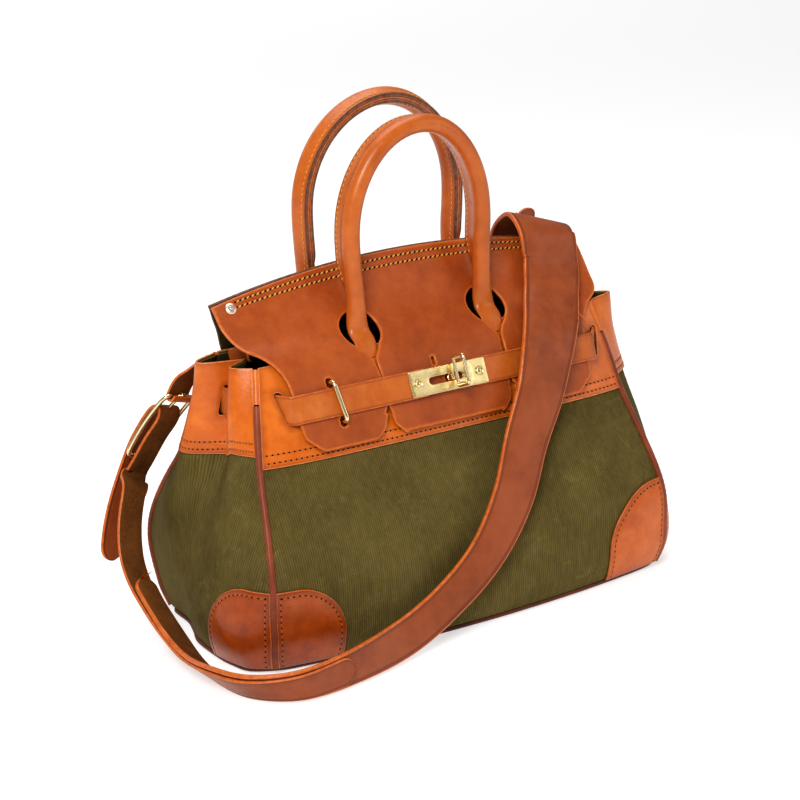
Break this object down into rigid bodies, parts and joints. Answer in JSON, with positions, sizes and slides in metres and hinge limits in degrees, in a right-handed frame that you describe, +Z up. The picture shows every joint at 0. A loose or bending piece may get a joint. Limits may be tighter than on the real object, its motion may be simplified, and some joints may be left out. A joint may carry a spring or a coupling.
{
  "type": "satchel bag",
  "caption": "Canvas and leather satchel with a slotted flap, belt and turn lock, rolled handles and a buckled shoulder strap.",
  "frame": {"origin": "middle of the flat underside of the bag's bottom", "axes": "+X to the bag's right as seen from its front, -Y out of the front with the flap and lock, +Z up"},
  "size_m": [0.4634, 0.2499, 0.4072],
  "materials": {
    "canvas": "coarse ribbed olive canvas, worn",
    "tan": "polished tan leather",
    "brown": "smooth red-brown leather",
    "strap": "dusty red-brown leather with burnished edges",
    "piping": "dark red-brown leather piping",
    "brass": "satin pale brass",
    "copper": "domed copper rivet, satin",
    "board": "stiff fibreboard, matt",
    "rope": "twisted natural cord core"
  },
  "bodies": {
    "bag_body": {"back_band": "tan", "back_left_handle_foot": "tan", "back_left_piping": "piping", "back_panel": "canvas", "back_right_handle_foot": "tan", "back_right_piping": "piping", "back_yoke": "brown", "base_board": "board", "base_panel": "brown", "base_piping": "piping", "front_band": "tan", "front_left_handle_foot": "tan", "front_left_piping": "piping", "front_panel": "canvas", "front_right_handle_foot": "tan", "front_right_piping": "piping", "left_belt_arm": "tan", "left_belt_plate": "brass", "left_billet": "strap", "left_buckle_frame": "brass", "left_buckle_prong": "brass", "left_chape": "strap", "left_front_patch": "tan", "left_gusset": "canvas", "left_plate_screw": "brass", "left_ridge_rivet": "copper", "left_side_band": "tan", "left_side_patch": "tan", "left_staple": "brass", "left_staple_washer": "brass", "lock_post": "brass", "right_belt_arm": "tan", "right_belt_plate": "brass", "right_billet": "strap", "right_buckle_frame": "brass", "right_buckle_prong": "brass", "right_chape": "strap", "right_front_patch": "tan", "right_gusset": "canvas", "right_plate_screw": "brass", "right_ridge_rivet": "copper", "right_side_band": "tan", "right_side_patch": "tan", "right_staple": "brass", "right_staple_washer": "brass", "shoulder_strap": "strap"},
    "flap_leather": {"flap": "brown"},
    "front_handle_assembly": {"front_handle": "tan", "front_handle_flange": "tan", "front_handle_rope": "rope"},
    "back_handle_assembly": {"back_handle": "tan", "back_handle_flange": "tan", "back_handle_rope": "rope"},
    "toggle": {"lock_toggle": "brass"}
  },
  "joints": [
    {"name": "flap_hinge", "type": "hinge", "parent": "bag_body", "child": "flap_leather", "pos_m": [0, 0.01, 0.2835], "axis": [-1, 0, 0], "range_deg": [0, 150], "deforming": ["flap"]},
    {"name": "front_handle_tilt", "type": "hinge", "parent": "bag_body", "child": "front_handle_assembly", "pos_m": [0, -0.0176, 0.238], "axis": [1, 0, 0], "range_deg": [-8, 35], "stiffness_Nm_per_rad": 0.5},
    {"name": "back_handle_tilt", "type": "hinge", "parent": "bag_body", "child": "back_handle_assembly", "pos_m": [0, 0.0375, 0.238], "axis": [-1, 0, 0], "range_deg": [-5, 35], "stiffness_Nm_per_rad": 0.5},
    {"name": "lock_toggle_turn", "type": "hinge", "parent": "bag_body", "child": "toggle", "pos_m": [0.002, -0.0531, 0.1905], "axis": [0, -0.9274, 0.374], "range_deg": [0, 90]}
  ]
}
